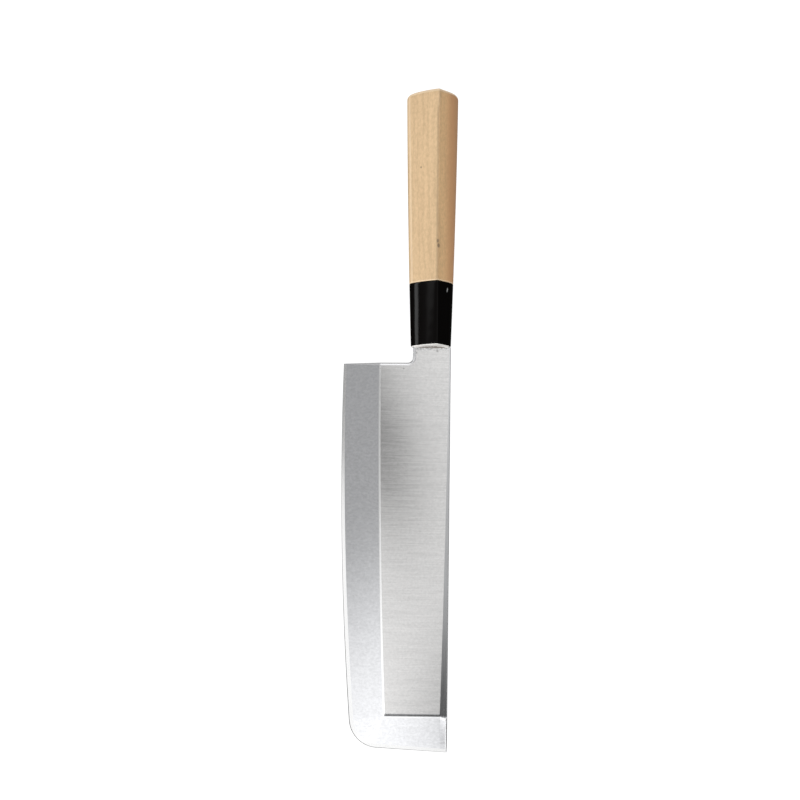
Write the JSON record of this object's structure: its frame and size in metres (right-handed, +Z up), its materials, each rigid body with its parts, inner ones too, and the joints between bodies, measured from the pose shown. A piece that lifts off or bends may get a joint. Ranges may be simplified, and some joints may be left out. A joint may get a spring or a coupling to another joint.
{
  "type": "sashimi knife",
  "caption": "Single-bevel sashimi knife with a tall straight blade, hollow-ground back, dark ferrule and pale wooden handle of chestnut section, lying on its back.",
  "frame": {"origin": "middle of the knife's footprint on the table that it lies on", "axes": "+Y from the tip to the butt, +Z up from the table, +X from the cutting edge to the spine"},
  "size_m": [0.063, 0.3658, 0.0264],
  "materials": {
    "steel": "satin, brushed across the blade on the flat and finer along the bevels",
    "ferrule_black": "polished black moulding",
    "wood": "sanded bare pale hardwood with straight grain",
    "resin": "set resin"
  },
  "bodies": {
    "root": {"blade": "steel", "ferrule": "ferrule_black", "grip": "wood", "tang_resin": "resin", "mouth_bead": "resin"}
  },
  "joints": []
}
